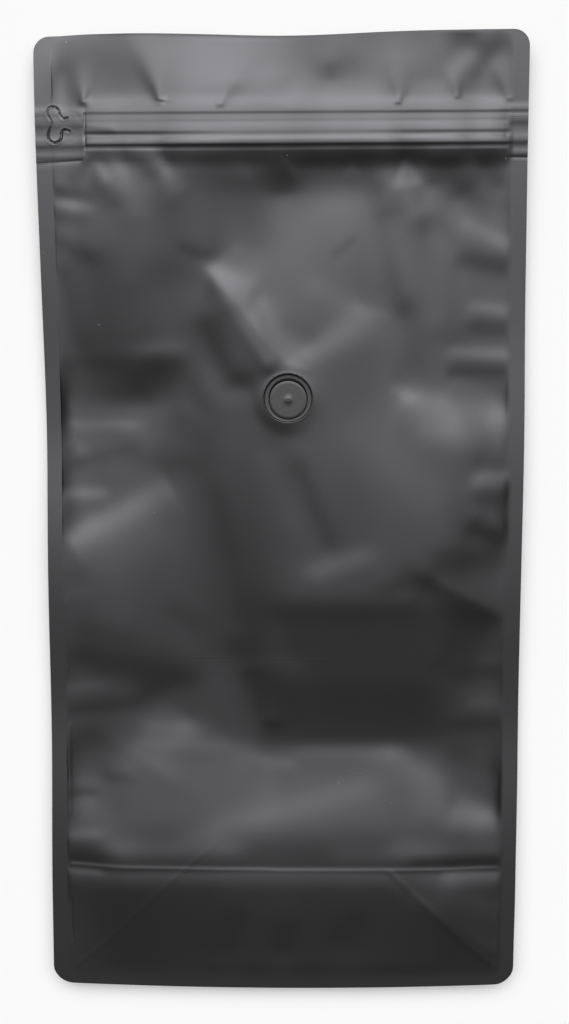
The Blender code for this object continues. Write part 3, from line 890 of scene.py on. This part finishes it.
def backHeight(x, y):
    b = backFilm
    inside = smoothStep((halfWidthAt(y) - np.abs(x) - b["flatSide"]) / b["sideRun"])
    inside = inside * smoothStep((halfLength - np.abs(y) - b["flatEnd"]) / b["endRun"])
    # three wandering waves that cross each other
    wave = np.sin(x / 11 + 1.7 * np.sin(y / 37)) + np.sin((x + 0.8 * y) / 23 + 0.6)
    wave += 0.8 * np.sin((y - 0.35 * x) / 17 + 2.1 * np.sin(x / 31))
    height = b["ripple"] * np.maximum(wave + 1.2, 0) * inside
    for place, rise, reach in b["bands"]:
        height = height + rise * inside * np.exp(-((y - place) / reach) ** 2)
    edge = np.minimum(halfWidthAt(y) - np.abs(x), halfLength - np.abs(y))
    down = smoothStep((edge - b["sealEdge"]) / b["curve"])
    raised = (bag["lift"] + droopAt(x, y)) * (1 - down)
    height = np.minimum(height, b["highest"]) + raised
    height = np.minimum(height, filmHeight(x, y) - b["clear"])
    return np.where(edge < bag["sealWidth"], raised, height)


def makeBackPanel():
    sheet, x, y = panelSheet("backPanel", backColumns, backRows)
    placeVertices(sheet, x + sideShift(x, y), y + endShift(x, y), backHeight(x, y))
    closePanel(sheet, backFin)
    return sheet


backPanel = makeBackPanel()
print("back film:", len(backPanel.data.polygons), "faces")


# Folded gusset between the two films: its tucked edge shows deep in the gap round the bag.

gusset = {
    "inset": 5.6,
    "depth": 1.5,
    "low": 6.72,
    "high": 7.48,
    "cornerRadius": 5.0,
    "cuts": 70,              # points along each long side, so that it can droop with the seals
    "softness": 0.28,        # of its outer and inner edges, as the fold itself is round
}


def makeGusset():
    g = gusset
    selectNone()
    bpy.ops.mesh.primitive_plane_add(size=1)
    fold = bpy.context.object
    fold.name = "gussetFold"
    bpy.ops.object.mode_set(mode="EDIT")
    bpy.ops.mesh.select_all(action="SELECT")
    bpy.ops.transform.resize(value=(2 * (halfWide - bag["sideDraw"] - g["inset"]) * mm,
                                    2 * (halfLength - g["inset"]) * mm, 1))
    bpy.ops.transform.translate(value=(0, 0, g["low"] * mm))
    bpy.ops.mesh.bevel(offset=g["cornerRadius"] * mm, segments=6, affect="VERTICES")
    for side in (-1, 1):
        def isLongSide(edge):
            start, end = (fold.data.vertices[k].co for k in edge.vertices)
            return side * start.x > 0 and side * end.x > 0 and abs(start.y - end.y) > 0.1

        pick(fold, "EDGE", isLongSide)
        bpy.ops.mesh.subdivide(number_cuts=g["cuts"])
    bpy.ops.mesh.select_mode(type="VERT")
    bpy.ops.mesh.select_all(action="SELECT")
    bpy.ops.mesh.inset(thickness=g["depth"] * mm)
    bpy.ops.mesh.delete(type="FACE")
    bpy.ops.mesh.select_all(action="SELECT")
    bpy.ops.mesh.extrude_region_move(TRANSFORM_OT_translate={"value": (0, 0, (g["high"] - g["low"]) * mm)})
    bpy.ops.mesh.select_all(action="SELECT")
    bpy.ops.mesh.normals_make_consistent(inside=False)
    bpy.ops.object.mode_set(mode="OBJECT")
    soften = fold.modifiers.new("roundFold", "BEVEL")
    soften.width = g["softness"] * mm
    soften.segments = 3
    soften.limit_method = "ANGLE"
    soften.angle_limit = math.radians(60)
    bpy.ops.object.modifier_apply(modifier="roundFold")
    droopVertices(fold.data.vertices)
    bpy.ops.object.shade_smooth_by_angle(angle=math.radians(40))
    return fold


gussetFold = makeGusset()
print("gusset:", len(gussetFold.data.polygons), "faces")


# One-way degassing valve: a shallow round dish with a flat disc and a pinhole.

valveRings = {
    # radius, height above the valve's seat
    "skirt foot": (10.45, -2.0),
    "skirt": (10.45, 0.62),
    "lip outer": (10.38, 0.76),
    "lip top": (10.2, 0.82),
    "lip inner": (9.98, 0.74),
    "wall top": (9.85, 0.55),
    "wall foot": (9.75, -0.9),
    "groove": (9.45, -1.1),
    "groove middle": (8.8, -1.05),
    "groove foot": (8.05, -1.1),
    "disc wall": (7.85, 0.25),
    "disc shoulder": (7.68, 0.52),
    "disc edge": (7.45, 0.6),
    "disc": (6.6, 0.61),
    "disc inner": (3.0, 0.58),
    "pinhole apron": (1.1, 0.57),
    "burr": (0.62, 0.78),
    "burr edge": (0.42, 0.74),
    "hole": (0.32, 0.2),
}
seatDrop = 0.75              # from the film's collar down to the valve's seat
discReach = 8.0              # rings within this radius belong to the disc,
discShift = (0.05, -0.75)    # which sits a little off the middle


def makeValve():
    rings = list(valveRings.values())
    selectNone()
    bpy.ops.mesh.primitive_circle_add(vertices=128, radius=rings[0][0] * mm, fill_type="NOTHING")
    piece = bpy.context.object
    piece.name = "degassingValve"
    bpy.ops.object.mode_set(mode="EDIT")
    bpy.ops.mesh.select_all(action="SELECT")
    seat = lipLevel + collar["rise"] - seatDrop
    bpy.ops.transform.translate(value=(collarX * mm, collarY * mm, (seat + rings[0][1]) * mm))
    centreX, centreY = collarX, collarY
    for (lastRadius, lastHeight), (radius, height) in zip(rings[:-1], rings[1:]):
        movedX, movedY = discShift if radius < discReach <= lastRadius else (0, 0)
        bpy.ops.mesh.extrude_region_move()
        shrink = radius / lastRadius
        bpy.ops.transform.resize(value=(shrink, shrink, 1), center_override=(centreX * mm, centreY * mm, 0))
        bpy.ops.transform.translate(value=(movedX * mm, movedY * mm, (height - lastHeight) * mm))
        centreX, centreY = centreX + movedX, centreY + movedY
    bpy.ops.mesh.edge_face_add()
    bpy.ops.object.mode_set(mode="OBJECT")
    low = min(vertex.co.z for vertex in piece.data.vertices)
    pick(piece, "VERT", lambda vertex: vertex.co.z < low + 1e-7)
    bpy.ops.mesh.edge_face_add()
    bpy.ops.mesh.select_all(action="SELECT")
    bpy.ops.mesh.normals_make_consistent(inside=False)
    bpy.ops.object.mode_set(mode="OBJECT")
    bpy.ops.object.shade_smooth_by_angle(angle=math.radians(50))
    return piece


degassingValve = makeValve()
print("valve:", len(degassingValve.data.polygons), "faces")


# Materials

def feed(tree, socket, value):
    # a socket gets a number, a colour or another node's output
    if isinstance(value, bpy.types.NodeSocket):
        tree.links.new(value, socket)
    else:
        socket.default_value = value


def addNode(tree, kind, inputs=None, **settings):
    node = tree.nodes.new(kind)
    for name, value in settings.items():
        setattr(node, name, value)
    for name, value in (inputs or {}).items():
        feed(tree, node.inputs[name], value)
    return node


def mathNode(tree, operation, *values, clamp=False):
    node = addNode(tree, "ShaderNodeMath", dict(enumerate(values)), operation=operation, use_clamp=clamp)
    return node.outputs[0]


def vectorNode(tree, operation, *values):
    # the answer is a number for some operations and a vector for the others
    node = addNode(tree, "ShaderNodeVectorMath", dict(enumerate(values)), operation=operation)
    return node.outputs["Value" if operation in ("DOT_PRODUCT", "DISTANCE") else "Vector"]


def colourMix(tree, factor, first, second):
    inputs = {"Factor": factor, "A": first, "B": second}
    return addNode(tree, "ShaderNodeMix", inputs, data_type="RGBA").outputs["Result"]


def groupTree(name, inputs, outputs):
    # a node group that takes a place and some numbers, and gives numbers
    tree = bpy.data.node_groups.new(name, "ShaderNodeTree")
    tree.interface.new_socket(name="Vector", in_out="INPUT", socket_type="NodeSocketVector")
    for label, value in inputs.items():
        kind = "NodeSocketVector" if value is None else "NodeSocketFloat"
        socket = tree.interface.new_socket(name=label, in_out="INPUT", socket_type=kind)
        if value is not None:
            socket.default_value = value
    for label in outputs:
        tree.interface.new_socket(name=label, in_out="OUTPUT", socket_type="NodeSocketFloat")
    return tree, tree.nodes.new("NodeGroupInput").outputs, tree.nodes.new("NodeGroupOutput").inputs


def makeGrainGroup():
    # fine matte grain of the film, and broad faint cloudiness
    tree, entry, leave = groupTree("filmGrain", {"Grain Size": 0.5, "Cloud Size": 30.0}, ["Grain", "Cloud"])
    for size, layer, settings in (("Grain Size", "Grain", {"Detail": 3.0, "Roughness": 0.6}),
                                  ("Cloud Size", "Cloud", {"Detail": 2.0})):
        scale = mathNode(tree, "DIVIDE", 1000.0, entry[size])
        noise = addNode(tree, "ShaderNodeTexNoise", {"Vector": entry["Vector"], "Scale": scale, **settings},
                        noise_dimensions="3D")
        tree.links.new(noise.outputs["Fac"], leave[layer])
    return tree


def makeDustGroup():
    # sparse small specks: the middle of a few scattered cells
    tree, entry, leave = groupTree("dustSpecks", {"Spacing": 9.0, "Speck Size": 0.035, "Share": 0.3},
                                   ["Mask"])
    scale = mathNode(tree, "DIVIDE", 1000.0, entry["Spacing"])
    cells = addNode(tree, "ShaderNodeTexVoronoi", {"Vector": entry["Vector"], "Scale": scale}, feature="F1")
    parts = addNode(tree, "ShaderNodeSeparateColor", {0: cells.outputs["Color"]})
    chosen = mathNode(tree, "LESS_THAN", parts.outputs[0], entry["Share"])
    speck = mathNode(tree, "LESS_THAN", cells.outputs["Distance"], entry["Speck Size"])
    tree.links.new(mathNode(tree, "MULTIPLY", chosen, speck), leave["Mask"])
    return tree


def makeSealGroup():
    # fine cross ribs that the sealing jaws leave along both long edges
    tree, entry, leave = groupTree("sealKnurl", {"Inner Edge": 0.0905, "Pitch": 0.0008}, ["Height"])
    split = addNode(tree, "ShaderNodeSeparateXYZ", {0: entry["Vector"]})
    away = mathNode(tree, "SUBTRACT", mathNode(tree, "ABSOLUTE", split.outputs["X"]), entry["Inner Edge"])
    steepness = 900.0        # the ribs set in over about a millimetre
    inside = mathNode(tree, "MULTIPLY", away, steepness, clamp=True)
    turns = mathNode(tree, "MULTIPLY", split.outputs["Y"], 2 * math.pi)
    turns = mathNode(tree, "DIVIDE", turns, entry["Pitch"])
    tree.links.new(mathNode(tree, "MULTIPLY", mathNode(tree, "SINE", turns), inside), leave["Height"])
    return tree


def makeScratchGroup():
    # one fine straight mark between two places, as a soft mask
    tree, entry, leave = groupTree("fineScratch", {"Start": None, "End": None, "Width": 0.0003}, ["Mask"])
    fromStart = vectorNode(tree, "SUBTRACT", vectorNode(tree, "MULTIPLY", entry["Vector"], (1, 1, 0)),
                           entry["Start"])
    run = vectorNode(tree, "SUBTRACT", entry["End"], entry["Start"])
    along = vectorNode(tree, "DOT_PRODUCT", fromStart, run)
    share = mathNode(tree, "DIVIDE", along, vectorNode(tree, "DOT_PRODUCT", run, run), clamp=True)
    onLine = addNode(tree, "ShaderNodeVectorMath", {0: run, "Scale": share}, operation="SCALE")
    gap = vectorNode(tree, "DISTANCE", fromStart, onLine.outputs["Vector"])
    ratio = mathNode(tree, "DIVIDE", gap, entry["Width"])
    tree.links.new(mathNode(tree, "SUBTRACT", 1.0, ratio, clamp=True), leave["Mask"])
    return tree


grainGroup = makeGrainGroup()
dustGroup = makeDustGroup()
sealGroup = makeSealGroup()
scratchGroup = makeScratchGroup()


def placeGroup(tree, group, vector, values=None):
    return addNode(tree, "ShaderNodeGroup", {"Vector": vector, **(values or {})}, node_tree=group).outputs


filmLook = {
    "shade": 0.010,
    "lighterShade": 0.0135,
    "roughness": 0.33,
    "roughnessSwing": 0.05,
    "specular": 1.0,
    "sheen": (0.965, 0.945, 1.0, 1),
    "grain": {"Grain Size": 0.45, "Cloud Size": 34.0},
    "grainDepth": 0.0016,
    "knurlDepth": 0.0035,
    "dust": {"Spacing": 11.0, "Speck Size": 0.028, "Share": 0.22},
    "dustShade": 0.16,
    "scratchDepth": 0.012,
}

# fine marks on the front film: start and end in millimetres
scratches = {
    "long 1": ((-47, 30), (-48, 20)),
    "long 2": ((-48, 20), (-50, 5)),
    "long 3": ((-50, 5), (-54, -15)),
    "long 4": ((-54, -15), (-60, -28)),
    "short 1": ((47, 10), (47.5, -2)),
    "short 2": ((55, -45), (55.5, -52)),
    "short 3": ((63, 23), (65, 21)),
    "arc 1": ((25, -104), (31, -106)),
    "arc 2": ((31, -106), (37, -104)),
    "level": ((-40, -55), (20, -55.5)),
}

valveLook = {
    "shade": 0.006,
    "roughness": 0.36,
    "roughnessSwing": 0.06,
    "specular": 1.0,
    "grain": {"Grain Size": 0.35, "Cloud Size": 9.0},
    "grainDepth": 0.0012,
}


def principledOf(material):
    material.use_nodes = True
    return material.node_tree.nodes["Principled BSDF"]


def tinted(shade, red, green, blue):
    return (shade * red, shade * green, shade * blue, 1)


def grainedMaterial(name, look):
    # what film and valve share: cloudy roughness and grain. The grain is still to be fed to a bump.
    material = bpy.data.materials.new(name)
    shader = principledOf(material)
    tree = material.node_tree
    shader.inputs["Specular IOR Level"].default_value = look["specular"]
    place = addNode(tree, "ShaderNodeTexCoord").outputs["Object"]
    grain = placeGroup(tree, grainGroup, place, look["grain"])
    rough = mathNode(tree, "MULTIPLY_ADD", grain["Cloud"], look["roughnessSwing"],
                     look["roughness"] - 0.5 * look["roughnessSwing"])
    tree.links.new(rough, shader.inputs["Roughness"])
    height = mathNode(tree, "MULTIPLY", grain["Grain"], look["grainDepth"])
    return material, tree, shader, grain, height


def addBump(tree, shader, height):
    bump = addNode(tree, "ShaderNodeBump", {"Distance": mm, "Height": height})
    tree.links.new(bump.outputs["Normal"], shader.inputs["Normal"])


def makeFilmMaterial(name, marks, seals):
    look = filmLook
    material, tree, shader, grain, height = grainedMaterial(name, look)
    place = tree.nodes["Texture Coordinate"].outputs["Object"]
    shader.inputs["Specular Tint"].default_value = look["sheen"]
    shade = colourMix(tree, grain["Cloud"], tinted(look["shade"], 0.97, 1, 1.04),
                      tinted(look["lighterShade"], 1, 0.96, 0.93))
    dust = placeGroup(tree, dustGroup, place, look["dust"])
    speckled = colourMix(tree, dust["Mask"], shade, tinted(look["dustShade"], 1, 1, 0.95))
    tree.links.new(speckled, shader.inputs["Base Color"])
    if seals:
        knurl = placeGroup(tree, sealGroup, place)
        height = mathNode(tree, "MULTIPLY_ADD", knurl["Height"], look["knurlDepth"], height)
    if marks:
        for start, end in scratches.values():
            ends = {"Start": (start[0] * mm, start[1] * mm, 0), "End": (end[0] * mm, end[1] * mm, 0)}
            scratch = placeGroup(tree, scratchGroup, place, ends)
            height = mathNode(tree, "MULTIPLY_ADD", scratch["Mask"], look["scratchDepth"], height)
    addBump(tree, shader, height)
    return material


def makeValveMaterial():
    look = valveLook
    material, tree, shader, grain, height = grainedMaterial("valveMoulding", look)
    shade = colourMix(tree, grain["Cloud"], tinted(look["shade"], 0.8, 0.8, 0.85),
                      tinted(look["shade"], 1.3, 1.3, 1.3))
    tree.links.new(shade, shader.inputs["Base Color"])
    addBump(tree, shader, height)
    return material


def dress(piece, material):
    piece.data.materials.clear()
    piece.data.materials.append(material)


dress(frontPanel, makeFilmMaterial("frontFilm", marks=True, seals=True))
dress(backPanel, makeFilmMaterial("backFilm", marks=False, seals=True))
dress(gussetFold, makeFilmMaterial("gussetFilm", marks=False, seals=False))
dress(degassingValve, makeValveMaterial())

for piece in (frontPanel, backPanel, gussetFold, degassingValve):
    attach(piece, "root")
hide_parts("pouch", "zipper")
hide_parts("pouch")
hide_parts("pouch")
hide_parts("valve")
print("materials placed")


# Pale floor, soft studio light from the mouth side, and the camera above

studio = {
    "floorSize": 6.0,
    "floorDrop": 0.5,        # millimetres under the bag
    "floorShade": 0.90,
    "floorRoughness": 0.9,
    "floorSpecular": 0.1,
    "floorGlow": 0.13,
    "lightTilt": 54.0,       # degrees from straight up, towards the mouth
    "lightSpread": 4.5,      # larger is narrower
    "lightStrength": 6.5,
    "fill": 0.012,
    "lowSky": 0.46,          # the glow fades out between these two heights of the sky
    "highSky": 0.78,
    "lowShare": 0.05,
    "backdrop": 0.90,        # what the camera itself sees beyond the floor
}


def makeFloor():
    selectNone()
    bpy.ops.mesh.primitive_plane_add(size=studio["floorSize"], location=(0, 0, -studio["floorDrop"] * mm))
    plane = bpy.context.object
    plane.name = "paleFloor"
    material = bpy.data.materials.new("paleFloor")
    shader = principledOf(material)
    for name, value in (("Base Color", tinted(studio["floorShade"], 1, 1, 1)),
                        ("Roughness", studio["floorRoughness"]),
                        ("Specular IOR Level", studio["floorSpecular"]),
                        ("Emission Color", (1, 1, 1, 1)),
                        ("Emission Strength", studio["floorGlow"])):
        shader.inputs[name].default_value = value
    dress(plane, material)
    return plane


def makeSoftLight():
    # a broad soft glow in the sky over the mouth of the bag, and a dark room elsewhere
    world = bpy.data.worlds.new("softStudio")
    bpy.context.scene.world = world
    world.use_nodes = True
    tree = world.node_tree
    tilt = math.radians(studio["lightTilt"])
    sky = addNode(tree, "ShaderNodeTexCoord").outputs["Generated"]
    towards = vectorNode(tree, "DOT_PRODUCT", sky, (0, math.sin(tilt), math.cos(tilt)))
    spread = studio["lightSpread"]
    fall = mathNode(tree, "MULTIPLY_ADD", towards, spread, -spread)
    upward = addNode(tree, "ShaderNodeSeparateXYZ", {0: sky}).outputs["Z"]
    fade = addNode(tree, "ShaderNodeMapRange",
                   {"Value": upward, "From Min": studio["lowSky"], "From Max": studio["highSky"],
                    "To Min": studio["lowShare"]}, interpolation_type="SMOOTHSTEP")
    glow = mathNode(tree, "MULTIPLY", mathNode(tree, "EXPONENT", fall), fade.outputs["Result"])
    glow = mathNode(tree, "MULTIPLY_ADD", glow, studio["lightStrength"], studio["fill"])
    toCamera = addNode(tree, "ShaderNodeLightPath").outputs["Is Camera Ray"]
    seen = addNode(tree, "ShaderNodeMix", {"Factor": toCamera, "A": glow, "B": studio["backdrop"]},
                   data_type="FLOAT")
    background = tree.nodes["Background"]
    background.inputs["Color"].default_value = (1, 1, 1, 1)
    tree.links.new(seen.outputs["Result"], background.inputs["Strength"])


viewpoint = {
    "place": (8.72, 76.9, 593.0),
    "turn": (-6.79, 0.78, -0.23),
    "lens": 50,
    "sensor": 36,
}


def makeCamera():
    data = bpy.data.cameras.new("overheadCamera")
    camera = bpy.data.objects.new("overheadCamera", data)
    bpy.context.scene.collection.objects.link(camera)
    data.lens = viewpoint["lens"]
    data.sensor_width = viewpoint["sensor"]
    data.clip_start = 10 * mm
    camera.location = [value * mm for value in viewpoint["place"]]
    camera.rotation_euler = [math.radians(angle) for angle in viewpoint["turn"]]
    bpy.context.scene.camera = camera


makeFloor()
makeSoftLight()
makeCamera()
bpy.context.scene.view_settings.view_transform = "Standard"
print("floor, light and camera placed")
